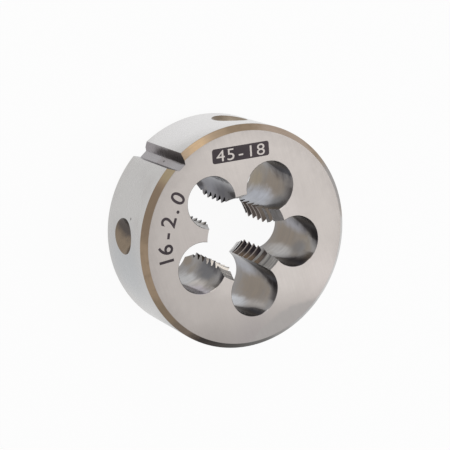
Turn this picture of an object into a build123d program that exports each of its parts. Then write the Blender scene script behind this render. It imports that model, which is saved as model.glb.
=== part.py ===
from build123d import *
from math import ceil, radians, tan
import os

# Round threading die: one solid of hardened steel, lying flat on its back face.
# Origin at the middle of the back face, +Z out of the front face, +Y through the V-groove.
# Lengths in millimetres, angles in degrees, counter-clockwise seen from the front.

# Body
outer_diameter = 45.0
thickness = 18.0
rim_chamfer = 1.2

# Thread, right-hand, ISO metric
thread_diameter = 16.0
thread_pitch = 2.0
thread_angle = 60.0
thread_crest_height = 1.92  # a crest stands this high over the back face on the +X side

# Cones that lead into the thread from both faces
mouth_diameter = 17.5
lead_length = 5.0

# Chip holes, spaced evenly round the thread
chip_hole_count = 5
chip_hole_diameter = 10.3
chip_hole_circle = 22.0
chip_hole_turn = 2.0  # from the V-groove to the first hole
chip_hole_countersink = 0.3  # at the back mouths

# V-groove across the rim, with a flat floor
groove_depth = 1.9
groove_floor_width = 1.7
groove_angle = 65.0

# Conical set-screw pits round the rim
pit_count = 4
pit_diameter = 7.7
pit_tip_diameter = 0.6
pit_angle = 90.0
pit_height = 8.8
pit_turn = 45.0  # from the V-groove to the first pit

# How far a cutter reaches past the metal
overrun = 1.0

outer_radius = outer_diameter / 2
major_radius = thread_diameter / 2
first_hole_angle = 90 + chip_hole_turn


def around(cutter: Part, count: int, first_angle: float) -> list[Part]:
    """Evenly spaced copies round the Z axis of a cutter that lies on the +X side."""
    return [Rot(0, 0, first_angle + 360 / count * k) * cutter for k in range(count)]


def disc() -> Part:
    """The turned blank, chamfered round both faces."""
    section = Polygon(
        (0, 0),
        (outer_radius - rim_chamfer, 0),
        (outer_radius, rim_chamfer),
        (outer_radius, thickness - rim_chamfer),
        (outer_radius - rim_chamfer, thickness),
        (0, thickness),
        align=None,
    )
    return revolve(Plane.YZ * section, Axis.Z)


def bore() -> Part:
    """The hole to the thread's crests, opened into a cone at each end."""
    sharp_height = thread_pitch / 2 / tan(radians(thread_angle / 2))
    minor_radius = major_radius - 5 / 8 * sharp_height
    section = Polygon(
        (0, -overrun),
        (mouth_diameter / 2, -overrun),
        (mouth_diameter / 2, 0),
        (minor_radius, lead_length),
        (minor_radius, thickness - lead_length),
        (mouth_diameter / 2, thickness),
        (mouth_diameter / 2, thickness + overrun),
        (0, thickness + overrun),
        align=None,
    )
    return revolve(Plane.YZ * section, Axis.Z)


def thread_turns() -> list[Part]:
    """The helical groove as separate turns, whose ends meet in the middle of the first chip hole."""
    root_half = thread_pitch / 16
    mouth_half = 0.465 * thread_pitch
    mouth_radius = major_radius - (mouth_half - root_half) / tan(radians(thread_angle / 2))
    section = Polygon(
        (mouth_radius, -mouth_half),
        (major_radius, -root_half),
        (major_radius, root_half),
        (mouth_radius, mouth_half),
        align=None,
    )
    path = Helix(pitch=thread_pitch, height=thread_pitch, radius=major_radius)
    turn = Rot(0, 0, first_hole_angle) * sweep(Plane.XZ * section, path=path, is_frenet=True)
    rise = thread_crest_height + thread_pitch * (first_hole_angle / 360 + 1 / 2)
    lowest = -ceil(rise / thread_pitch) - 1
    highest = ceil((thickness - rise) / thread_pitch) + 1
    return [Pos(0, 0, rise + thread_pitch * k) * turn for k in range(lowest, highest)]


def chip_holes() -> list[Part]:
    """The round holes that open into the thread and leave the cutting lands between them."""
    radius = chip_hole_diameter / 2
    reach = chip_hole_countersink + overrun
    hole = Pos(0, 0, thickness / 2) * Cylinder(radius, thickness + 2 * overrun)
    sink = Pos(0, 0, -overrun) * Cone(radius + reach, radius, reach, align=(Align.CENTER, Align.CENTER, Align.MIN))
    return around(Pos(chip_hole_circle / 2, 0, 0) * (hole + sink), chip_hole_count, first_hole_angle)


def rim_groove() -> Part:
    """The V-groove from face to face, which takes the middle screw of the die stock."""
    floor = outer_radius - groove_depth
    top = outer_radius + overrun
    floor_half = groove_floor_width / 2
    top_half = floor_half + (top - floor) * tan(radians(groove_angle / 2))
    section = Polygon((-floor_half, floor), (floor_half, floor), (top_half, top), (-top_half, top), align=None)
    return extrude(Pos(0, 0, -overrun) * section, thickness + 2 * overrun)


def pits() -> list[Part]:
    """The conical seats for the other screws of the die stock."""
    slope = tan(radians(pit_angle / 2))
    tip_radius = pit_tip_diameter / 2
    depth = (pit_diameter / 2 - tip_radius) / slope
    reach = depth + overrun
    cone = Cone(tip_radius, tip_radius + reach * slope, reach, align=(Align.CENTER, Align.CENTER, Align.MIN))
    seat = Pos(outer_radius - depth, 0, pit_height) * Rot(0, 90, 0) * cone
    return around(seat, pit_count, 90 + pit_turn)


def die() -> Part:
    """The whole die."""
    body = disc() - [bore(), *chip_holes()]
    body -= thread_turns()
    return body - [rim_groove(), *pits()]


os.makedirs("parts", exist_ok=True)
export_step(die(), "parts/die.step")
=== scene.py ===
"""Looks of the round threading die: the dressed body, the studio and the camera.

All lengths are written in millimetres and turned into metres where Blender needs them. The die lies flat on
its back face, +Z points out of the front face and +Y runs through the V-groove of the rim.
"""

from __future__ import annotations

import logging
import math
from collections.abc import Callable, Iterator, Sequence
from contextlib import contextmanager
from dataclasses import dataclass, field
from enum import Enum

import bmesh
import bpy
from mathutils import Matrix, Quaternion, Vector

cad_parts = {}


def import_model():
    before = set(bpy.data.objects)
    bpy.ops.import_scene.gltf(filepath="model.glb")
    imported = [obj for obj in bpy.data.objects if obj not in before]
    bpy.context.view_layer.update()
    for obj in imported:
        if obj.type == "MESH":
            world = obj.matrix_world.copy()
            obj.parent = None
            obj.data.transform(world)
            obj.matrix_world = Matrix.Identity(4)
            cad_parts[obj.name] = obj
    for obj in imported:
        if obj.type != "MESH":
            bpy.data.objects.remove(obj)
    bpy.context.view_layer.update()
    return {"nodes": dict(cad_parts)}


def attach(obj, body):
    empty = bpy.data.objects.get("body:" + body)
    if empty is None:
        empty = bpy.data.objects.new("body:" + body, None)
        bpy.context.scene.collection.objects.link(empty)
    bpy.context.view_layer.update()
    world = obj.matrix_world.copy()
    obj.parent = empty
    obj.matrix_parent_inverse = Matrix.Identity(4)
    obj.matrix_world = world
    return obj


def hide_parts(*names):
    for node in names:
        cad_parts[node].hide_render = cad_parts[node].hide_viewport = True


log = logging.getLogger("die")

MM = 0.001
RIM_RADIUS = 22.5
THICKNESS = 18.0
HOLE_COUNT = 5
HOLE_RADIUS = 5.15
HOLE_CIRCLE = 11.0
HOLE_TURN = 2.0
NODE = "die"
BODY = "root"

# A unit vector runs along an axis if its share on that axis is over ALONG, and across it if under ACROSS.
ALONG = 0.95
ACROSS = 0.1

# Two heights in millimetres that differ by less than this are the same.
SAME_HEIGHT = 1e-3

# Corners closer than this, in metres, become one.
MERGE = 1e-7

# How far out the tones of the front chamfer are placed.
CHAMFER_MIDDLE = 22.0

# Noise runs from 0 to 1 about this.
NOISE_MIDDLE = 0.5

# Straight pieces in each curve of a printed character.
CURVE_STEPS = 8

# Sockets of a colour Mix node.
MIX_SHARE = 0
MIX_FIRST = 6
MIX_SECOND = 7
MIX_RESULT = 2

Colour = tuple[float, float, float]
Number = "Signal | float"


# ---------------------------------------------------------------------------------------------------------
# Modelling by hand
# ---------------------------------------------------------------------------------------------------------


class Pick(Enum):
    """What a selection in edit mode is made of."""

    EDGES = "EDGE"
    FACES = "FACE"


def mm(*lengths: float) -> tuple[float, ...]:
    """Millimetres as metres."""
    return tuple(length * MM for length in lengths)


def deselect_all() -> None:
    """Leaves object mode with nothing selected."""
    if bpy.context.mode != "OBJECT":
        bpy.ops.object.mode_set(mode="OBJECT")
    bpy.ops.object.select_all(action="DESELECT")


def activate(obj: bpy.types.Object) -> None:
    """Makes one object the only selected and the active one.

    Args:
        obj: The object.
    """
    deselect_all()
    obj.select_set(True)
    bpy.context.view_layer.objects.active = obj


def new_object(name: str) -> bpy.types.Object:
    """Names the primitive that was just added, and puts its place into its mesh.

    Args:
        name: The object's name, which its mesh gets too.

    Returns:
        The object.
    """
    obj = bpy.context.object
    obj.name = obj.data.name = name
    bpy.ops.object.transform_apply(location=True, rotation=True, scale=True)
    return obj


@contextmanager
def editing(obj: bpy.types.Object) -> Iterator[None]:
    """Edit mode on one object, with nothing selected at the start.

    Args:
        obj: The object.

    Returns:
        A context, which leaves edit mode at its end.
    """
    activate(obj)
    bpy.ops.object.mode_set(mode="EDIT")
    bpy.ops.mesh.select_all(action="DESELECT")
    yield
    bpy.ops.object.mode_set(mode="OBJECT")


def select_where(obj: bpy.types.Object, kind: Pick, test: Callable[[Vector, Vector], bool]) -> int:
    """Selects the edges or faces of the object in edit mode that pass a test.

    Args:
        obj: The object in edit mode.
        kind: Whether edges or faces are picked.
        test: Told the element's middle in millimetres and its normal, or an edge's direction.

    Returns:
        How many elements are selected.
    """
    bpy.ops.mesh.select_mode(type=kind.value)
    bpy.ops.mesh.select_all(action="DESELECT")
    mesh = bmesh.from_edit_mesh(obj.data)
    count = 0
    for item in mesh.faces if kind is Pick.FACES else mesh.edges:
        if kind is Pick.FACES:
            middle, way = item.calc_center_median(), item.normal
        else:
            ends = [v.co for v in item.verts]
            middle, way = (ends[0] + ends[1]) / 2, (ends[1] - ends[0]).normalized()
        if test(middle / MM, way):
            item.select_set(True)
            count += 1
    bmesh.update_edit_mesh(obj.data)
    return count


def draw_out(
    obj: bpy.types.Object,
    centre: tuple[float, float],
    start: tuple[float, float],
    end: tuple[float, float],
) -> None:
    """Extrudes the end face of a round bar once, and gives the new end its own radius.

    Args:
        obj: The bar in edit mode, which stands along Z.
        centre: The axis of the bar, x and y.
        start: Height and radius of the end face.
        end: Height and radius of the new end.
    """
    height, radius = start
    new_height, new_radius = end
    ratio = new_radius / radius
    select_where(obj, Pick.FACES, lambda at, way: abs(at.z - height) < SAME_HEIGHT and abs(way.z) > ALONG)
    bpy.ops.mesh.extrude_region_move(TRANSFORM_OT_translate={"value": mm(0, 0, new_height - height)})
    bpy.ops.transform.resize(value=(ratio, ratio, 1), center_override=mm(*centre, new_height))


def cut(body: bpy.types.Object, cutter: bpy.types.Object) -> None:
    """Takes a cutter out of a body. The new walls keep the cutter's finish, and the cutter is deleted.

    Args:
        body: The object that loses metal.
        cutter: A closed mesh.
    """
    activate(body)
    tool = body.modifiers.new(cutter.name, "BOOLEAN")
    tool.operation = "DIFFERENCE"
    tool.solver = "MANIFOLD"
    tool.material_mode = "TRANSFER"
    tool.object = cutter
    before = len(body.data.polygons)
    bpy.ops.object.modifier_apply(modifier=tool.name)
    if len(body.data.polygons) == before:
        raise RuntimeError(f"{cutter.name} cut nothing from {body.name}")
    bpy.data.objects.remove(cutter)


def copies_round(first: bpy.types.Object, count: int) -> bpy.types.Object:
    """Repeats a cutter round the Z axis, evenly spaced, and joins the copies with it.

    Args:
        first: The cutter to repeat.
        count: How many there are in the end.

    Returns:
        The joined cutter.
    """
    copies = [first]
    for step in range(1, count):
        activate(first)
        bpy.ops.object.duplicate()
        copy = bpy.context.object
        copy.rotation_euler = (0, 0, math.tau * step / count)
        bpy.ops.object.transform_apply(location=False, rotation=True, scale=False)
        copies.append(copy)
    activate(first)
    for copy in copies:
        copy.select_set(True)
    bpy.ops.object.join()
    return first


# ---------------------------------------------------------------------------------------------------------
# Shader maths
# ---------------------------------------------------------------------------------------------------------


class Signal:
    """A node's output socket, on which sums are written as plain Python."""

    def __init__(self, tree: FinishTree, socket: bpy.types.NodeSocket) -> None:
        """Keeps the tree that new Math nodes go into, and the socket."""
        self.tree = tree
        self.socket = socket

    def __add__(self, other: Number) -> Signal:
        """Sum."""
        return self.tree.maths("ADD", self, other)

    __radd__ = __add__

    def __sub__(self, other: Number) -> Signal:
        """Difference."""
        return self.tree.maths("SUBTRACT", self, other)

    def __rsub__(self, other: Number) -> Signal:
        """Difference from a number."""
        return self.tree.maths("SUBTRACT", other, self)

    def __mul__(self, other: Number) -> Signal:
        """Product."""
        return self.tree.maths("MULTIPLY", self, other)

    __rmul__ = __mul__


class FinishTree:
    """The node tree of a material or world, built from the output back."""

    def __init__(self, tree: bpy.types.NodeTree) -> None:
        """Starts from an empty tree."""
        self.tree = tree
        self.tree.nodes.clear()

    def node(
        self,
        kind: str,
        settings: dict[str, object] | None = None,
        sockets: dict[str | int, object] | None = None,
    ) -> bpy.types.Node:
        """Adds a node of any type.

        Args:
            kind: The node's type name, without its ShaderNode prefix.
            settings: Properties of the node, which are set first.
            sockets: Values or links of its input sockets, by name or number.

        Returns:
            The node.
        """
        made = self.tree.nodes.new("ShaderNode" + kind)
        for name, value in (settings or {}).items():
            setattr(made, name, value)
        for name, value in (sockets or {}).items():
            if isinstance(value, Signal):
                self.tree.links.new(value.socket, made.inputs[name])
            else:
                made.inputs[name].default_value = value
        return made

    def signal(self, made: bpy.types.Node, output: str | int = 0) -> Signal:
        """One of a node's outputs, ready for sums."""
        return Signal(self, made.outputs[output])

    def maths(self, operation: str, *terms: Number) -> Signal:
        """A Math node over numbers and signals."""
        return self.signal(self.node("Math", {"operation": operation}, dict(enumerate(terms))))

    def clamp(self, value: Signal, low: float, high: float) -> Signal:
        """The value, held between two limits."""
        return self.signal(self.node("Clamp", {}, {"Value": value, "Min": low, "Max": high}))

    def ramp(self, value: Signal, low: float, high: float) -> Signal:
        """A smooth step.

        Args:
            value: What the step is taken of.
            low: Where it starts to leave 0.
            high: Where it reaches 1.

        Returns:
            The step.
        """
        made = self.node(
            "MapRange",
            {"interpolation_type": "SMOOTHSTEP"},
            {"Value": value, "From Min": low, "From Max": high},
        )
        return self.signal(made)

    def mix(self, share: Number, first: Signal | Colour, second: Signal | Colour) -> Signal:
        """Blends two colours.

        Args:
            share: How much of the second one shows, from 0 to 1.
            first: A colour or a colour signal.
            second: A colour or a colour signal.

        Returns:
            The blended colour.
        """
        made = self.node("Mix", {"data_type": "RGBA"})
        for index, value in ((MIX_SHARE, share), (MIX_FIRST, first), (MIX_SECOND, second)):
            if isinstance(value, Signal):
                self.tree.links.new(value.socket, made.inputs[index])
            elif index == MIX_SHARE:
                made.inputs[index].default_value = value
            else:
                made.inputs[index].default_value = (*value, 1)
        return self.signal(made, MIX_RESULT)

    def place(self) -> Signal:
        """The point on the object, in millimetres."""
        here = self.signal(self.node("TexCoord"), "Object")
        return self.vector("SCALE", here, {"Scale": 1 / MM})

    def vector(self, operation: str, first: Signal, second: dict[str | int, object]) -> Signal:
        """A Vector Math node over a vector signal and one more socket."""
        return self.signal(self.node("VectorMath", {"operation": operation}, {0: first, **second}))

    def drawn_out(self, here: Signal, stretch: tuple[float, float, float], turn: float = 0) -> Signal:
        """Draws a pattern out along some axes.

        Args:
            here: The point on the object.
            stretch: Factors along x, y and z. A small one draws the pattern out along that axis.
            turn: Turn about Z in degrees, before the stretch.

        Returns:
            The vector to feed to a texture.
        """
        turned = self.node("Mapping", {}, {"Vector": here, "Rotation": (0, 0, math.radians(turn))})
        return self.vector("MULTIPLY", self.signal(turned), {1: stretch})

    def near(self, here: Signal, patch: Patch, ragged: Number) -> Signal:
        """How far a point lies inside a patch.

        Args:
            here: The point on the object.
            patch: The patch.
            ragged: What is added to the distance, to roughen the outline.

        Returns:
            The patch's strength in its core, falling to 0 at its reach.
        """
        away = self.vector("SUBTRACT", here, {1: patch.centre})
        scaled = self.vector("DIVIDE", away, {1: patch.reach})
        length = self.signal(self.node("VectorMath", {"operation": "LENGTH"}, {0: scaled}), "Value")
        return (1 - self.ramp(length + ragged, patch.core, 1.0)) * patch.strength

    def directly_seen(self) -> Signal:
        """Tells what the camera sees, in metal and glass too, from light that falls on a dull surface.

        Returns:
            1 for what is seen and 0 for light.
        """
        path = self.node("LightPath")
        seen = self.signal(path, "Is Camera Ray") + self.signal(path, "Is Glossy Ray")
        return self.clamp(seen + self.signal(path, "Is Transmission Ray"), 0, 1)

    def noise(self, where: Signal, scale: float, detail: float = 2, roughness: float = 0.5) -> Signal:
        """Cloudy noise from 0 to 1.

        Args:
            where: The point, in millimetres.
            scale: Spots to the millimetre, roughly.
            detail: How many finer layers lie over the spots.
            roughness: How strongly they show.

        Returns:
            The noise.
        """
        made = self.node(
            "TexNoise",
            {"noise_dimensions": "3D"},
            {"Vector": where, "Scale": scale, "Detail": detail, "Roughness": roughness},
        )
        return self.signal(made, "Fac")


# ---------------------------------------------------------------------------------------------------------
# Finishes
# ---------------------------------------------------------------------------------------------------------


class Lay(Enum):
    """Which way the tool marks of a surface run, as stretch factors of the grain along x, y and z."""

    FLAT = (7.0, 0.12, 1.0)
    ROUND = (0.15, 0.15, 7.0)
    WALL = (0.12, 0.12, 2.0)
    REAMED = (0.10, 0.10, 0.8)
    NONE = (2.5, 2.5, 2.5)


@dataclass(frozen=True)
class Patch:
    """A soft-edged area of another tone. Most patches paint light and shade on the steel: painted
    reflections, painted highlights and painted shade. The others are temper colours and small marks.
    """

    centre: tuple[float, float, float]
    reach: tuple[float, float, float]
    colour: Colour
    strength: float = 1.0
    core: float = 0.3


def at_azimuth(
    azimuth: float,
    radius: float,
    height: float,
    colour: Colour,
    reach: float,
    strength: float = 1.0,
    core: float = 0.3,
) -> Patch:
    """A patch at an azimuth round the die.

    Args:
        azimuth: Where it lies round the Z axis, in degrees from +X.
        radius: How far out.
        height: How high.
        colour: Its tone.
        reach: How far it spreads.
        strength: How much of its tone shows.
        core: Share of the reach that keeps the full tone.

    Returns:
        The patch.
    """
    turn = math.radians(azimuth)
    centre = (radius * math.cos(turn), radius * math.sin(turn), height)
    return Patch(centre, (reach, reach, reach), colour, strength, core)


def on_face(
    azimuth: float, radius: float, colour: Colour, reach: float, strength: float, core: float
) -> Patch:
    """A patch at an azimuth on the front face."""
    return at_azimuth(azimuth, radius, THICKNESS, colour, reach, strength, core)


def on_chamfer(
    azimuth: float, colour: Colour, reach: float, strength: float = 1.0, core: float = 0.3
) -> Patch:
    """A patch at an azimuth on the front chamfer."""
    return at_azimuth(azimuth, CHAMFER_MIDDLE, THICKNESS, colour, reach, strength, core)


def on_wall(
    hole: int,
    azimuth: float,
    height: float,
    colour: Colour,
    reach: float,
    rise: float,
    strength: float = 1.0,
) -> Patch:
    """A patch on the wall of a chip hole.

    Args:
        hole: The hole's number, counter-clockwise from the V-groove.
        azimuth: Where it lies round the hole's own axis, in degrees from +X.
        height: How high.
        colour: Its tone.
        reach: How far it spreads round the wall.
        rise: How far it spreads up and down.
        strength: How much of its tone shows.

    Returns:
        The patch.
    """
    turn = math.radians(HOLE_TURN + 90 + hole * 360 / HOLE_COUNT)
    way = math.radians(azimuth)
    centre = (
        HOLE_CIRCLE * math.cos(turn) + HOLE_RADIUS * math.cos(way),
        HOLE_CIRCLE * math.sin(turn) + HOLE_RADIUS * math.sin(way),
        height,
    )
    return Patch(centre, (reach, reach, rise), colour, strength)


@dataclass(frozen=True)
class SteelFinish:
    """A hardened steel surface: its colour, stain, gloss and tool marks, with patches of temper colour and
    of painted light and shade.
    """

    name: str
    metal: Colour
    stain: Colour
    stain_low: float = 0.45
    stain_high: float = 0.75
    stain_scale: float = 0.16
    gloss: float = 0.3
    gloss_spread: float = 0.08
    lay: Lay = Lay.ROUND
    turn: float = 0.0
    grain: float = 0.05
    grain_depth: float = 0.003
    tints_and_painted_light: tuple[Patch, ...] = ()
    ragged: float = 0.3
    streak: float = 0.0
    edge: float = 1.0
    smoothest: float = 0.05
    scratch_tone: float = 0.5
    cloud_scale: float = 0.6
    grain_weight: float = 4.0
    cloud_weight: float = 2.0

    def build(self) -> bpy.types.Material:
        """Makes the material.

        Returns:
            The material, whose patterns read object coordinates alone.
        """
        material = bpy.data.materials.new(self.name)
        material.use_nodes = True
        tree = FinishTree(material.node_tree)
        here = tree.place()
        spots = tree.noise(here, self.stain_scale, detail=3, roughness=0.55)
        along_lay = tree.drawn_out(here, self.lay.value, self.turn)
        grain = tree.noise(along_lay, 1.0, detail=3, roughness=0.6)
        cloud = tree.noise(here, self.cloud_scale, detail=4, roughness=0.6)
        streaks = grain - NOISE_MIDDLE
        clouds = cloud - NOISE_MIDDLE
        colour = tree.mix(tree.ramp(spots, self.stain_low, self.stain_high), self.metal, self.stain)
        outline = (clouds + streaks * self.streak) * (self.ragged * 2)
        # Lays the patches over the steel: temper colours, and painted reflections, highlights and shade.
        for patch in self.tints_and_painted_light:
            colour = tree.mix(tree.near(here, patch, outline), colour, patch.colour)
        dark = tuple(part * self.scratch_tone for part in self.metal)
        scratches = streaks * self.grain * self.grain_weight + clouds * self.grain * self.cloud_weight
        colour = tree.mix(tree.clamp(scratches + self.grain, 0, 1), colour, dark)
        uneven = streaks * self.gloss_spread * 2 + clouds * self.gloss_spread
        rough = tree.clamp(uneven + self.gloss, self.smoothest, 1)
        bump = tree.node("Bump", {}, {"Strength": 1.0, "Distance": self.grain_depth * MM, "Height": grain})
        shader = tree.node(
            "BsdfPrincipled",
            {},
            {
                "Base Color": colour,
                "Metallic": 1.0,
                "Roughness": rough,
                "Normal": tree.signal(bump),
                "Specular Tint": (self.edge, self.edge, self.edge, 1),
            },
        )
        tree.node("OutputMaterial", {}, {"Surface": tree.signal(shader)})
        return material


# Painted highlight where the rim catches the light.
PAINTED_RIM_HIGHLIGHT = (0.72, 0.71, 0.71)
GOLD = (0.345, 0.246, 0.151)
# A near-black tone: small dark spots on the rim and on the groove floor, and two thin dark bands on the
# front lead cone.
NEAR_BLACK = (0.07, 0.062, 0.06)
# Painted dark reflection: the near-black crescents in the chip holes and dark zones in the lead cones.
PAINTED_DARK_REFLECTION = (0.030, 0.026, 0.032)
# Painted dark reflection, dim grey at the front edge of the chip holes.
PAINTED_DIM_REFLECTION = (0.14, 0.13, 0.132)
# Painted reflection, grey bands on the chip-hole walls.
PAINTED_GREY_REFLECTION = (0.15, 0.15, 0.157)
# Painted reflection, pale bluish grey on the chip-hole walls.
PAINTED_BLUISH_REFLECTION = (0.46, 0.48, 0.53)
# Brown of the chip-hole walls: partly temper colour, partly painted reflection.
BROWN = (0.255, 0.212, 0.170)
# Painted highlight: lighter areas of the front face between the chip holes.
PAINTED_FACE_SHEEN = (0.56, 0.52, 0.494)

FACE = SteelFinish(
    "face_steel",
    (0.38, 0.35, 0.332),
    (0.35, 0.32, 0.305),
    gloss=0.34,
    gloss_spread=0.04,
    lay=Lay.FLAT,
    turn=25,
    grain=0.07,
    grain_depth=0.001,
    ragged=0.05,
    # The face's patches paint its reflections: a lighter middle that darkens towards the rim, lighter and
    # darker areas round it, and a broad darker zone at the edge round 250°, as painted highlight and
    # painted shade.
    tints_and_painted_light=(
        Patch((0, 0, THICKNESS), (23.5, 23.5, 23.5), (0.45, 0.415, 0.394), 1.0, 0.75),
        on_face(208, 22, (0.30, 0.277, 0.265), 8, 0.6, 0.1),
        on_face(232, 21.0, (0.325, 0.299, 0.296), 9, 0.8, 0.1),
        on_face(252, 21.5, (0.364, 0.338, 0.325), 7, 0.7, 0.2),
        on_face(290, 19.0, (0.56, 0.515, 0.492), 9, 0.9, 0.1),
        on_face(320, 18.0, (0.50, 0.463, 0.438), 9, 0.6, 0.1),
        on_face(200, 9.5, PAINTED_FACE_SHEEN, 5, 0.7, 0.1),
        on_face(272, 12.0, PAINTED_FACE_SHEEN, 7, 0.9, 0.2),
        on_face(344, 10.0, (0.52, 0.481, 0.461), 5, 0.8, 0.1),
        on_face(60, 16.5, (0.507, 0.468, 0.442), 9, 0.5, 0.1),
        Patch((-11.2, -35.5, THICKNESS), (20, 20, 20), (0.355, 0.335, 0.325), 0.95, 0.94),
    ),
)
RIM = SteelFinish(
    "rim_steel",
    (0.52, 0.51, 0.50),
    (0.48, 0.465, 0.455),
    gloss=0.28,
    gloss_spread=0.03,
    grain=0.01,
    grain_depth=0.0006,
    ragged=0.08,
    # The rim's patches paint its reflections: painted highlights round 48° and 70°, and greyer painted
    # reflection round 152° and 186°. The tiny near-black spot at 125° is a mark on the steel.
    tints_and_painted_light=(
        at_azimuth(48, RIM_RADIUS, 9, PAINTED_RIM_HIGHLIGHT, 16, 0.95, 0.35),
        at_azimuth(70, RIM_RADIUS, 6, PAINTED_RIM_HIGHLIGHT, 12, 0.8, 0.35),
        at_azimuth(152, RIM_RADIUS, 9, (0.43, 0.44, 0.45), 12, 0.9, 0.2),
        at_azimuth(186, RIM_RADIUS, 15, (0.38, 0.38, 0.375), 6, 0.8, 0.1),
        at_azimuth(124.9, RIM_RADIUS, 11.5, NEAR_BLACK, 0.4, 0.8, 0.3),
    ),
)
CHAMFER = SteelFinish(
    "chamfer_steel",
    (0.307, 0.23, 0.16),
    (0.237, 0.179, 0.122),
    stain_scale=0.5,
    gloss=0.32,
    grain=0.12,
    # The chamfer's tone is painted round it. The gold and brown patches are temper colour, which also
    # paints part of the shade. The grey and black patches from 208° to 340° paint its reflections: near
    # black from 208° to 236° and light round 300°.
    tints_and_painted_light=(
        on_chamfer(76, GOLD, 3.2),
        on_chamfer(62, (0.358, 0.269, 0.186), 2.5, 0.7),
        on_chamfer(24, (0.41, 0.325, 0.262), 8.5, 0.9, 0.5),
        on_chamfer(97, (0.358, 0.294, 0.186), 3.0, 0.8),
        on_chamfer(118, (0.211, 0.157, 0.112), 7.5, 0.85, 0.5),
        on_chamfer(176, (0.192, 0.15, 0.106), 6.0, 0.8),
        on_chamfer(190, (0.128, 0.106, 0.09), 5.0, 0.8),
        on_chamfer(208, (0.016, 0.013, 0.014), 6.5, 1.0, 0.5),
        on_chamfer(222, (0.019, 0.019, 0.019), 6.5, 1.0, 0.4),
        on_chamfer(236, (0.051, 0.051, 0.051), 6.5, 1.0, 0.4),
        on_chamfer(252, (0.185, 0.181, 0.181), 5.0, 0.9, 0.3),
        on_chamfer(268, (0.37, 0.367, 0.367), 7.0, 1.0, 0.5),
        on_chamfer(300, (0.56, 0.553, 0.545), 12.0, 1.0, 0.6),
        on_chamfer(340, (0.29, 0.274, 0.27), 8.0, 0.95, 0.4),
    ),
)
HOLE = SteelFinish(
    "hole_steel",
    # A dark metal tone, which paints the shade deep in the chip holes.
    (0.30, 0.288, 0.284),
    (0.27, 0.232, 0.188),
    gloss=0.14,
    gloss_spread=0.05,
    lay=Lay.REAMED,
    grain=0.16,
    grain_depth=0.001,
    edge=0.82,
    ragged=0.3,
    streak=0.6,
    # The patches paint the walls' reflections: pale and bluish-grey painted highlights, grey bands, and
    # near-black painted dark reflections at the front edge and deep in each hole. Their browns are partly
    # temper colour and partly painted reflection.
    tints_and_painted_light=(
        on_wall(4, 303, 10, BROWN, 5.0, 8, 0.9),
        on_wall(4, 304, 3, (0.33, 0.275, 0.20), 3.0, 4, 0.8),
        on_wall(4, 259, 7, PAINTED_BLUISH_REFLECTION, 3.8, 9, 0.9),
        on_wall(4, 267, 15, PAINTED_GREY_REFLECTION, 2.4, 3.5, 0.8),
        on_wall(4, 310, THICKNESS, PAINTED_DIM_REFLECTION, 4.5, 5, 0.8),
        on_wall(4, 0, 14, PAINTED_DARK_REFLECTION, 4.6, 8, 0.9),
        on_wall(3, 297, 6, BROWN, 5.0, 9, 0.9),
        on_wall(3, 331, 9, (0.35, 0.35, 0.39), 2.2, 7, 0.8),
        on_wall(3, 257, 7, (0.48, 0.47, 0.46), 2.4, 6, 0.8),
        on_wall(3, 281, 12, PAINTED_GREY_REFLECTION, 2.2, 3.5, 0.6),
        on_wall(3, 357, 14, PAINTED_DARK_REFLECTION, 4.3, 9, 1.0),
        on_wall(3, 324, THICKNESS, PAINTED_DARK_REFLECTION, 3.0, 4, 1.0),
        on_wall(3, 236, 16, PAINTED_DARK_REFLECTION, 3.4, 8, 1.0),
        on_wall(2, 296, 9, BROWN, 5.0, 10, 0.9),
        on_wall(2, 339, 5, (0.40, 0.41, 0.45), 2.4, 7, 0.8),
        on_wall(2, 245, 7, (0.64, 0.66, 0.70), 2.3, 6, 0.8),
        on_wall(2, 255, 13, (0.44, 0.41, 0.39), 2.2, 5, 0.7),
        on_wall(2, 298, THICKNESS, PAINTED_DIM_REFLECTION, 2.6, 3, 0.7),
        on_wall(2, 357, 13, PAINTED_DARK_REFLECTION, 3.8, 9, 1.0),
        on_wall(2, 330, THICKNESS, PAINTED_DARK_REFLECTION, 3.0, 5, 1.0),
        on_wall(2, 230, 16, PAINTED_DARK_REFLECTION, 3.2, 8, 1.0),
        on_wall(1, 290, 2, BROWN, 2.0, 3, 0.9),
        on_wall(1, 294, 11, (0.12, 0.12, 0.13), 4.0, 6, 0.9),
        on_wall(1, 246, 7, (0.56, 0.56, 0.57), 2.6, 6, 0.8),
        on_wall(1, 247, 12, (0.52, 0.48, 0.45), 2.2, 4, 0.8),
        on_wall(1, 320, 14, PAINTED_DARK_REFLECTION, 3.2, 7, 1.0),
        on_wall(1, 298, THICKNESS, PAINTED_DARK_REFLECTION, 3.0, 2, 1.0),
        on_wall(1, 226, 15, (0.46, 0.42, 0.47), 3.0, 6, 0.9),
        on_wall(0, 318, 3.0, PAINTED_DARK_REFLECTION, 1.4, 2.2),
        on_wall(0, 311, 5.2, PAINTED_DARK_REFLECTION, 0.8, 1.3),
        on_wall(0, 350, 9, (0.21, 0.215, 0.245), 7.0, 12, 0.9),
        on_wall(0, 325, 14, PAINTED_DARK_REFLECTION, 3.0, 7, 0.7),
        on_wall(0, 326, 1.5, PAINTED_DARK_REFLECTION, 1.1, 4, 1.0),
    ),
)
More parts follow.
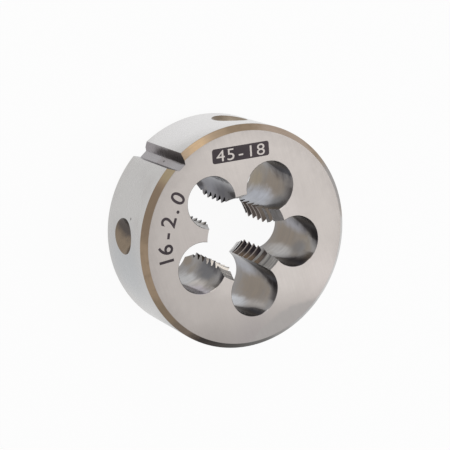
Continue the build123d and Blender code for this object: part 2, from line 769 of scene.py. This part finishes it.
LEAD = SteelFinish(
    "lead_steel",
    (0.72, 0.70, 0.69),
    (0.60, 0.58, 0.56),
    gloss=0.5,
    gloss_spread=0.1,
    lay=Lay.WALL,
    grain=0.6,
    grain_depth=0.02,
    # The cones' patches paint light and shade: painted highlights round 200° and 272° on the front cone and
    # near white round 122° and 272° on the back cone, a greyer area round 344°, painted dark reflection on
    # the back cone round 62° and 346°, and two thin near-black bands across the front cone.
    tints_and_painted_light=(
        at_azimuth(200, 8.0, 16, (0.98, 0.94, 0.90), 5.0, 1.0, 0.5),
        at_azimuth(344, 7.8, 17, (0.50, 0.49, 0.51), 5.0, 0.95, 0.5),
        at_azimuth(272, 7.8, 17, (0.90, 0.87, 0.83), 5.0, 0.9, 0.5),
        Patch((0.3, -7.6, 14.4), (3.5, 2.0, 0.40), NEAR_BLACK, 0.9, 0.3),
        Patch((0.3, -7.9, 15.9), (3.5, 2.0, 0.26), NEAR_BLACK, 0.85, 0.3),
        at_azimuth(272, 7.8, 2, (1.0, 1.0, 1.0), 5.0, 1.0, 0.6),
        at_azimuth(122, 7.8, 2, (1.0, 1.0, 1.0), 5.0, 1.0, 0.6),
        at_azimuth(346, 7.8, 1, PAINTED_DARK_REFLECTION, 5.0, 1.0, 0.6),
        at_azimuth(62, 7.8, 1, PAINTED_DARK_REFLECTION, 5.0, 1.0, 0.6),
    ),
)
CREST = SteelFinish("crest_steel", (0.26, 0.222, 0.206), (0.21, 0.178, 0.155), gloss=0.36, grain=0.05)
THREAD = SteelFinish(
    "thread_steel",
    # A very dark metal tone, which paints the shade between the teeth.
    (0.09, 0.074, 0.066),
    (0.16, 0.127, 0.10),
    gloss=0.26,
    grain=0.06,
    edge=0.75,
    # The patches paint a highlight round 202°, near-black painted shade round 62°, 128°, 272°, 287° and
    # 340°, and browner areas round 255° and 350°.
    tints_and_painted_light=(
        at_azimuth(202, 7.4, 12, (0.92, 0.85, 0.77), 5.0, 0.95, 0.3),
        Patch((-1.9, -7.2, 11.0), (2.4, 2.4, 7.0), (0.125, 0.088, 0.06), 0.9, 0.4),
        Patch((2.1, -7.1, 8.0), (3.0, 3.0, 8.5), (0.022, 0.018, 0.021), 1.0, 0.5),
        at_azimuth(272, 7.5, 3.0, (0.015, 0.012, 0.014), 3.4, 0.9, 0.4),
        at_azimuth(350, 7.4, 14, (0.19, 0.163, 0.136), 4.0, 0.8, 0.1),
        at_azimuth(62, 7.4, 8, (0.025, 0.022, 0.025), 7.0, 1.0, 0.6),
        at_azimuth(128, 7.4, 8, (0.035, 0.031, 0.035), 7.0, 0.9, 0.6),
        at_azimuth(340, 7.4, 4, (0.03, 0.026, 0.028), 4.0, 0.9, 0.4),
    ),
)
GROOVE = SteelFinish(
    "groove_steel",
    (0.355, 0.34, 0.35),
    (0.30, 0.275, 0.28),
    gloss=0.28,
    grain=0.05,
    # The groove's patches paint shade: near black over the +X wall, lighter at its low end and at its outer
    # edge, and dark on the -X wall. The small near-black dot on the floor is a mark on the steel.
    tints_and_painted_light=(
        Patch((1.5, 22.0, 3.0), (1.0, 3.0, 8.0), (0.235, 0.21, 0.22), 0.9, 0.6),
        Patch((1.4, 21.6, 17.0), (1.1, 3.0, 15.0), (0.050, 0.036, 0.032), 0.98, 0.5),
        Patch((2.2, 22.6, 14.0), (0.6, 0.55, 8.0), (0.16, 0.125, 0.11), 0.8, 0.3),
        Patch((-1.3, 21.5, 12.0), (0.6, 2.0, 8.0), (0.10, 0.095, 0.10), 0.9, 0.5),
        Patch((0.0, 20.6, 9.7), (0.32, 0.6, 0.45), NEAR_BLACK, 1.0, 0.3),
    ),
)
PIT = SteelFinish(
    "pit_steel",
    (0.245, 0.194, 0.145),
    (0.195, 0.154, 0.115),
    gloss=0.26,
    grain=0.15,
    # A near-black patch paints shade over part of the pit at 135°; a lighter brown patch lies in the pit at
    # 45°.
    tints_and_painted_light=(
        at_azimuth(128.5, 20.8, 8.0, (0.085, 0.076, 0.074), 4.2, 0.97, 0.5),
        at_azimuth(41, 20.6, 7.5, (0.36, 0.303, 0.238), 3.6, 0.9, 0.4),
    ),
)
MARK = SteelFinish(
    "etched_mark", (0.067, 0.056, 0.061), (0.052, 0.045, 0.049), gloss=0.55, lay=Lay.NONE, grain=0.05
)


# ---------------------------------------------------------------------------------------------------------
# The die
# ---------------------------------------------------------------------------------------------------------


@dataclass
class Blank:
    """The turned and ground disc that everything is cut from."""

    radius: float = RIM_RADIUS
    thickness: float = THICKNESS
    chamfer: float = 1.2
    edge_break: float = 0.06
    edge_steps: int = 2
    sides: int = 360
    level: float = 0.75
    upright: float = 0.3

    def build(self) -> bpy.types.Object:
        """Models the disc with its chamfers and softened edges.

        Returns:
            The disc.
        """
        deselect_all()
        bpy.ops.mesh.primitive_cylinder_add(
            vertices=self.sides,
            radius=self.radius * MM,
            depth=self.thickness * MM,
            location=mm(0, 0, self.thickness / 2),
        )
        disc = new_object("die_body")
        with editing(disc):
            half = self.thickness / 2
            select_where(disc, Pick.EDGES, lambda at, way: abs(at.z - half) > half - SAME_HEIGHT)
            bpy.ops.mesh.bevel(offset=self.chamfer * MM, segments=1, affect="EDGES")
            inner = self.radius - 2 * self.chamfer
            select_where(disc, Pick.EDGES, lambda at, way: abs(way.z) < ACROSS and at.xy.length > inner)
            bpy.ops.mesh.bevel(offset=self.edge_break * MM, segments=self.edge_steps, affect="EDGES")
        return disc

    def dress(self, disc: bpy.types.Object) -> None:
        """Gives the faces, the rim and the chamfers their finishes, by how level each face lies.

        Args:
            disc: The disc from build.
        """
        for finish in (FACE, RIM, CHAMFER):
            disc.data.materials.append(finish.build())
        bands = ((self.level, math.inf), (-math.inf, self.upright), (self.upright, self.level))
        with editing(disc):
            for index, (low, high) in enumerate(bands):
                select_where(disc, Pick.FACES, lambda at, way: low < abs(way.z) <= high)
                disc.active_material_index = index
                bpy.ops.object.material_slot_assign()


@dataclass
class ChipHoles:
    """The round holes that open into the thread, with softened mouths."""

    count: int = HOLE_COUNT
    radius: float = HOLE_RADIUS
    circle_radius: float = HOLE_CIRCLE
    turn: float = HOLE_TURN
    front_break: float = 0.08
    back_sink: float = 0.3
    reach: float = 0.3
    sides: int = 144
    finish: SteelFinish = HOLE

    def build(self, thickness: float) -> bpy.types.Object:
        """Models the cutter for all the holes.

        Args:
            thickness: The blank's thickness.

        Returns:
            The cutter.
        """
        angle = math.radians(90 + self.turn)
        centre = (self.circle_radius * math.cos(angle), self.circle_radius * math.sin(angle))
        deselect_all()
        bpy.ops.mesh.primitive_cylinder_add(
            vertices=self.sides,
            radius=self.radius * MM,
            depth=(thickness - self.front_break - self.back_sink) * MM,
            location=mm(*centre, (thickness - self.front_break + self.back_sink) / 2),
        )
        hole = new_object("chip_holes")
        ends = ((thickness - self.front_break, self.front_break, 1), (self.back_sink, self.back_sink, -1))
        with editing(hole):
            for end, sink, way in ends:
                flare = sink + self.reach
                draw_out(hole, centre, (end, self.radius), (end + way * flare, self.radius + flare))
        hole.data.materials.append(self.finish.build())
        return copies_round(hole, self.count)


@dataclass
class Bore:
    """The hole to the crests of the thread, opened into a cone at each mouth."""

    radius: float = 6.9175
    mouth_radius: float = 8.75
    lead: float = 5.0
    reach: float = 0.5
    sides: int = 288
    cone_finish: SteelFinish = LEAD
    crest_finish: SteelFinish = CREST

    def build(self, thickness: float) -> bpy.types.Object:
        """Models the cutter.

        Args:
            thickness: The blank's thickness.

        Returns:
            The cutter.
        """
        low, high = self.lead, thickness - self.lead
        slope = (self.mouth_radius - self.radius) / self.lead
        wide = self.mouth_radius + slope * self.reach
        deselect_all()
        bpy.ops.mesh.primitive_cylinder_add(
            vertices=self.sides,
            radius=self.radius * MM,
            depth=(high - low) * MM,
            location=mm(0, 0, (low + high) / 2),
        )
        bore = new_object("bore")
        with editing(bore):
            draw_out(bore, (0, 0), (high, self.radius), (thickness + self.reach, wide))
            draw_out(bore, (0, 0), (low, self.radius), (-self.reach, wide))
        bore.data.materials.append(self.cone_finish.build())
        bore.data.materials.append(self.crest_finish.build())
        with editing(bore):
            select_where(bore, Pick.FACES, lambda at, way: abs(way.z) < ACROSS)
            bore.active_material_index = 1
            bpy.ops.object.material_slot_assign()
        return bore


@dataclass
class Thread:
    """The helical groove of the right-hand thread."""

    radius: float = 8.0
    pitch: float = 2.0
    angle: float = 60.0
    crest_height: float = 1.92
    root_half: float = 0.17
    mouth_half: float = 0.97
    turns: int = 11
    turns_below: int = 2
    steps: int = 144
    section_corners: int = 4
    finish: SteelFinish = THREAD

    def build(self) -> bpy.types.Object:
        """Models the cutter: one tooth space, carried round the axis by a screw.

        Returns:
            The cutter.
        """
        slope = math.tan(math.radians(self.angle / 2))
        mouth_radius = self.radius - (self.mouth_half - self.root_half) / slope
        height = self.crest_height + self.pitch * (0.5 - self.turns_below)
        deselect_all()
        bpy.ops.mesh.primitive_plane_add(
            size=1,
            location=mm((self.radius + mouth_radius) / 2, 0, height),
            rotation=(math.pi / 2, 0, 0),
        )
        bpy.context.object.scale = mm(self.radius - mouth_radius, 2 * self.mouth_half, 1)
        space = new_object("thread_space")
        with editing(space):
            select_where(space, Pick.EDGES, lambda at, way: at.x > self.radius - self.root_half / 2)
            ratio = self.root_half / self.mouth_half
            bpy.ops.transform.resize(value=(1, 1, ratio), center_override=mm(self.radius, 0, height))
            bpy.ops.mesh.select_mode(type="FACE")
            bpy.ops.mesh.select_all(action="SELECT")
            bpy.ops.mesh.delete(type="ONLY_FACE")
        screw = space.modifiers.new("screw", "SCREW")
        screw.axis = "Z"
        screw.angle = math.tau
        screw.screw_offset = self.pitch * MM
        screw.iterations = self.turns
        screw.steps = screw.render_steps = self.steps
        screw.use_merge_vertices = False
        bpy.ops.object.modifier_apply(modifier=screw.name)
        with editing(space):
            bpy.ops.mesh.select_all(action="SELECT")
            bpy.ops.mesh.remove_doubles(threshold=MERGE)
            bpy.ops.mesh.fill_holes(sides=self.section_corners)
            bpy.ops.mesh.select_all(action="SELECT")
            bpy.ops.mesh.normals_make_consistent(inside=False)
        space.data.materials.append(self.finish.build())
        return space


@dataclass
class RimGroove:
    """The V-groove across the rim, with a flat floor."""

    rim_radius: float = RIM_RADIUS
    depth: float = 1.9
    floor_width: float = 1.7
    angle: float = 65.0
    reach: float = 1.0
    finish: SteelFinish = GROOVE

    def build(self, thickness: float) -> bpy.types.Object:
        """Models the cutter.

        Args:
            thickness: The blank's thickness.

        Returns:
            The cutter.
        """
        floor = self.rim_radius - self.depth
        top = self.rim_radius + self.reach
        top_width = self.floor_width + 2 * (top - floor) * math.tan(math.radians(self.angle / 2))
        deselect_all()
        bpy.ops.mesh.primitive_cube_add(size=1, location=mm(0, (floor + top) / 2, thickness / 2))
        bpy.context.object.scale = mm(self.floor_width, top - floor, thickness + 2 * self.reach)
        groove = new_object("rim_groove")
        with editing(groove):
            select_where(groove, Pick.FACES, lambda at, way: way.y > ALONG)
            ratio = top_width / self.floor_width
            bpy.ops.transform.resize(value=(ratio, 1, 1), center_override=mm(0, top, 0))
        groove.data.materials.append(self.finish.build())
        return groove


@dataclass
class ScrewPits:
    """The conical seats round the rim."""

    count: int = 4
    rim_radius: float = RIM_RADIUS
    radius: float = 3.85
    tip_radius: float = 0.3
    angle: float = 90.0
    height: float = 8.8
    turn: float = 45.0
    reach: float = 1.0
    sides: int = 128
    finish: SteelFinish = PIT

    def build(self) -> bpy.types.Object:
        """Models the cutter for all the pits.

        Returns:
            The cutter.
        """
        slope = math.tan(math.radians(self.angle / 2))
        depth = (self.radius - self.tip_radius) / slope
        length = depth + self.reach
        way = math.radians(90 + self.turn)
        middle = self.rim_radius - depth + length / 2
        deselect_all()
        bpy.ops.mesh.primitive_cone_add(
            vertices=self.sides,
            radius1=self.tip_radius * MM,
            radius2=(self.radius + self.reach * slope) * MM,
            depth=length * MM,
            location=mm(middle * math.cos(way), middle * math.sin(way), self.height),
            rotation=(0, math.pi / 2, way),
        )
        pit = new_object("screw_pits")
        pit.data.materials.append(self.finish.build())
        return copies_round(pit, self.count)


def digit(text: str, height: float, width_share: float, bolder: float, depth: float) -> bpy.types.Object:
    """Models one printed character as a thin closed plate, centred on the origin.

    Args:
        text: The character.
        height: Size of the type in millimetres.
        width_share: Width of the character against the plain type's.
        bolder: How far each stroke's outline is moved out.
        depth: How far the plate reaches above and below z = 0.

    Returns:
        The plate.
    """
    deselect_all()
    bpy.ops.object.text_add()
    letter = bpy.context.object
    letter.data.body = text
    letter.data.size = height * MM
    letter.data.offset = bolder * MM
    letter.data.extrude = depth * MM
    letter.data.resolution_u = CURVE_STEPS
    bpy.ops.object.convert(target="MESH")
    plate = new_object("digit")
    with editing(plate):
        bpy.ops.mesh.select_all(action="SELECT")
        bpy.ops.mesh.remove_doubles(threshold=MERGE)
        corners = [v.co for v in bmesh.from_edit_mesh(plate.data).verts]
        low = min(c.x for c in corners)
        high = max(c.x for c in corners)
        bpy.ops.transform.translate(value=(-(low + high) / 2, 0, 0))
        bpy.ops.transform.resize(value=(width_share, 1, 1), center_override=(0, 0, 0))
    return plate


def join_all(parts: Sequence[bpy.types.Object]) -> bpy.types.Object:
    """Joins meshes into the first one.

    Args:
        parts: The meshes.

    Returns:
        The first mesh, which now holds all.
    """
    activate(parts[0])
    for part in parts:
        part.select_set(True)
    bpy.ops.object.join()
    return parts[0]


@dataclass
class SizeMark:
    """The thread's size in plain numbers, etched along an arc of the front face."""

    text: str = "16-2.0"
    base_radius: float = 16.2
    start_angle: float = 147.3
    size: float = 4.35
    width_share: float = 1.02
    bolder: float = 0.06
    gap: float = 0.88
    depth: float = 0.03
    finish: SteelFinish = MARK

    def build(self, thickness: float) -> bpy.types.Object:
        """Models the cutter for the numbers.

        Args:
            thickness: The blank's thickness.

        Returns:
            The cutter.
        """
        plates = []
        angle = self.start_angle
        for character in self.text:
            plate = digit(character, self.size, self.width_share, self.bolder, self.depth)
            half = math.degrees(plate.dimensions.x / MM / 2 / self.base_radius)
            angle -= half
            turn = math.radians(angle)
            across, up = self.base_radius * math.cos(turn), self.base_radius * math.sin(turn)
            plate.location = mm(across, up, thickness)
            plate.rotation_euler = (0, 0, turn - math.pi / 2)
            bpy.ops.object.transform_apply(location=True, rotation=True, scale=True)
            plates.append(plate)
            angle -= half + math.degrees(self.gap / self.base_radius)
        marks = join_all(plates)
        marks.name = "size_mark"
        marks.data.materials.append(self.finish.build())
        return marks


@dataclass
class PlainBar:
    """The dark bar of the front face, with the blank's width and height left standing in it."""

    text: str = "45-18"
    centre: tuple[float, float] = (10.56, 13.58)
    turn: float = -38.6
    length: float = 12.4
    height: float = 2.9
    corner: float = 0.5
    corner_steps: int = 6
    size: float = 3.2
    width_share: float = 1.25
    spacing: float = 2.2
    drop_share: float = 0.35
    depth: float = 0.03
    digit_depth: float = 0.12
    finish: SteelFinish = MARK

    def build(self, thickness: float) -> bpy.types.Object:
        """Models the cutter for the bar round its numbers.

        Args:
            thickness: The blank's thickness.

        Returns:
            The cutter.
        """
        deselect_all()
        bpy.ops.mesh.primitive_cube_add(size=1)
        bpy.context.object.scale = mm(self.length, self.height, 2 * self.depth)
        bar = new_object("plain_bar")
        with editing(bar):
            select_where(bar, Pick.EDGES, lambda at, way: abs(way.z) > ALONG)
            bpy.ops.mesh.bevel(offset=self.corner * MM, segments=self.corner_steps, affect="EDGES")
        for step, character in enumerate(self.text):
            plate = digit(character, self.size, self.width_share, 0.0, self.digit_depth)
            offset = (step - (len(self.text) - 1) / 2) * self.spacing
            plate.location = mm(offset, -self.drop_share * self.size, 0)
            bpy.ops.object.transform_apply(location=True, rotation=True, scale=True)
            cut(bar, plate)
        activate(bar)
        bar.location = mm(*self.centre, thickness)
        bar.rotation_euler = (0, 0, math.radians(self.turn))
        bpy.ops.object.transform_apply(location=True, rotation=True, scale=True)
        bar.data.materials.clear()
        bar.data.materials.append(self.finish.build())
        return bar


@dataclass
class DieBody:
    """The whole die, one piece of steel."""

    blank: Blank = field(default_factory=Blank)
    chip_holes: ChipHoles = field(default_factory=ChipHoles)
    bore: Bore = field(default_factory=Bore)
    thread: Thread = field(default_factory=Thread)
    groove: RimGroove = field(default_factory=RimGroove)
    pits: ScrewPits = field(default_factory=ScrewPits)
    mark: SizeMark = field(default_factory=SizeMark)
    bar: PlainBar = field(default_factory=PlainBar)
    smooth_angle: float = 10.0

    def build(self) -> bpy.types.Object:
        """Cuts the die out of its blank.

        Returns:
            The finished body.
        """
        body = self.blank.build()
        self.blank.dress(body)
        thickness = self.blank.thickness
        cut(body, self.bore.build(thickness))
        cut(body, self.chip_holes.build(thickness))
        cut(body, self.groove.build(thickness))
        cut(body, self.pits.build())
        cut(body, self.thread.build())
        cut(body, self.mark.build(thickness))
        cut(body, self.bar.build(thickness))
        activate(body)
        bpy.ops.object.shade_smooth_by_angle(angle=math.radians(self.smooth_angle))
        return body

    def declare(self, body: bpy.types.Object) -> None:
        """Hides the CAD die that the body takes the place of, and hangs the body on the root body.

        Args:
            body: The finished body.
        """
        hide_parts(NODE)
        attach(body, BODY)


# ---------------------------------------------------------------------------------------------------------
# The studio
# ---------------------------------------------------------------------------------------------------------


@dataclass(frozen=True)
class Softbox:
    """A square lamp that hangs round the die and faces it."""

    name: str
    azimuth: float
    elevation: float
    distance: float
    size: float
    radiance: float
    colour: Colour = (1, 1, 1)

    def build(self, target: Vector) -> bpy.types.Object:
        """Hangs the lamp.

        Args:
            target: The point it faces, in metres.

        Returns:
            The lamp.
        """
        away = direction(self.azimuth, self.elevation)
        deselect_all()
        bpy.ops.object.light_add(
            type="AREA",
            location=target + away * self.distance * MM,
            rotation=away.to_track_quat("Z", "Y").to_euler(),
        )
        lamp = bpy.context.object
        lamp.name = lamp.data.name = self.name
        lamp.data.shape = "SQUARE"
        lamp.data.size = self.size * MM
        lamp.data.color = self.colour
        lamp.data.energy = self.radiance * math.pi * (self.size * MM) ** 2
        lamp.visible_camera = False
        return lamp


def direction(azimuth: float, elevation: float) -> Vector:
    """The unit vector at an azimuth from +X and an elevation, in degrees."""
    turn, rise = math.radians(azimuth), math.radians(elevation)
    return Vector((math.cos(rise) * math.cos(turn), math.cos(rise) * math.sin(turn), math.sin(rise)))


@dataclass
class Camera:
    """The camera, by the point it aims at and the way it stands from there."""

    aim: tuple[float, float, float] = (-1.482, 5.658, THICKNESS)
    azimuth: float = 111.597
    elevation: float = 60.230
    distance: float = 301.756
    roll: float = 112.530
    lens: float = 124.443
    sensor: float = 36.0

    def build(self) -> bpy.types.Object:
        """Sets the camera up and makes it the scene's.

        Returns:
            The camera.
        """
        away = direction(self.azimuth, self.elevation)
        turn = away.to_track_quat("Z", "Y") @ Quaternion((0, 0, 1), math.radians(self.roll))
        deselect_all()
        bpy.ops.object.camera_add(
            location=(Vector(self.aim) + away * self.distance) * MM,
            rotation=turn.to_euler(),
        )
        camera = bpy.context.object
        camera.data.lens = self.lens
        camera.data.sensor_width = self.sensor
        bpy.context.scene.camera = camera
        return camera


@dataclass
class Studio:
    """The pale floor, the plain light and the surroundings."""

    floor_size: float = 3000.0
    floor_gap: float = 0.02
    floor_colour: Colour = (0.9, 0.9, 0.9)
    glow: float = 0.94
    surround: float = 0.62
    boxes: tuple[Softbox, ...] = (
        Softbox("key_box", -35, 50, 600, 300, 1.3),
        Softbox("side_box", 58, 24, 500, 180, 1.7),
    )
    target: tuple[float, float, float] = (0.0, 0.0, 9.0)

    def build_floor(self) -> bpy.types.Object:
        """Lays the floor.

        Returns:
            The floor.
        """
        deselect_all()
        bpy.ops.mesh.primitive_plane_add(size=self.floor_size * MM, location=mm(0, 0, -self.floor_gap))
        floor = new_object("floor")
        material = bpy.data.materials.new("pale_floor")
        material.use_nodes = True
        tree = FinishTree(material.node_tree)
        share = tree.directly_seen() * self.glow
        cloth = tree.node("BsdfDiffuse", {}, {"Color": (*self.floor_colour, 1)})
        light = tree.node("Emission", {}, {"Color": (1, 1, 1, 1), "Strength": 1.0})
        both = tree.node("MixShader", {}, {0: share, 1: tree.signal(cloth), 2: tree.signal(light)})
        tree.node("OutputMaterial", {}, {"Surface": tree.signal(both)})
        floor.data.materials.append(material)
        return floor

    def build_surround(self) -> None:
        """Sets the even light that comes from all round."""
        world = bpy.data.worlds.new("studio")
        bpy.context.scene.world = world
        world.use_nodes = True
        tree = FinishTree(world.node_tree)
        strength = tree.directly_seen() * (1 - self.surround) + self.surround
        light = tree.node("Background", {}, {"Color": (1, 1, 1, 1), "Strength": strength})
        tree.node("OutputWorld", {}, {"Surface": tree.signal(light)})

    def build(self) -> None:
        """Sets up the floor, the surroundings, the lamps and the look of the picture."""
        self.build_floor()
        self.build_surround()
        for box in self.boxes:
            box.build(Vector(self.target) * MM)
            log.info("lamp %s", box.name)
        bpy.context.scene.view_settings.view_transform = "Standard"


def main() -> None:
    """Builds the die, the camera and the studio in order, and logs what it built."""
    logging.basicConfig(level=logging.INFO, format="%(name)s: %(message)s")
    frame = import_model()
    log.info("frame with nodes %s", sorted(frame["nodes"]))
    Camera().build()
    log.info("camera")
    maker = DieBody()
    body = maker.build()
    maker.declare(body)
    log.info("%s: %d faces", body.name, len(body.data.polygons))
    Studio().build()


if __name__ == "__main__":
    main()
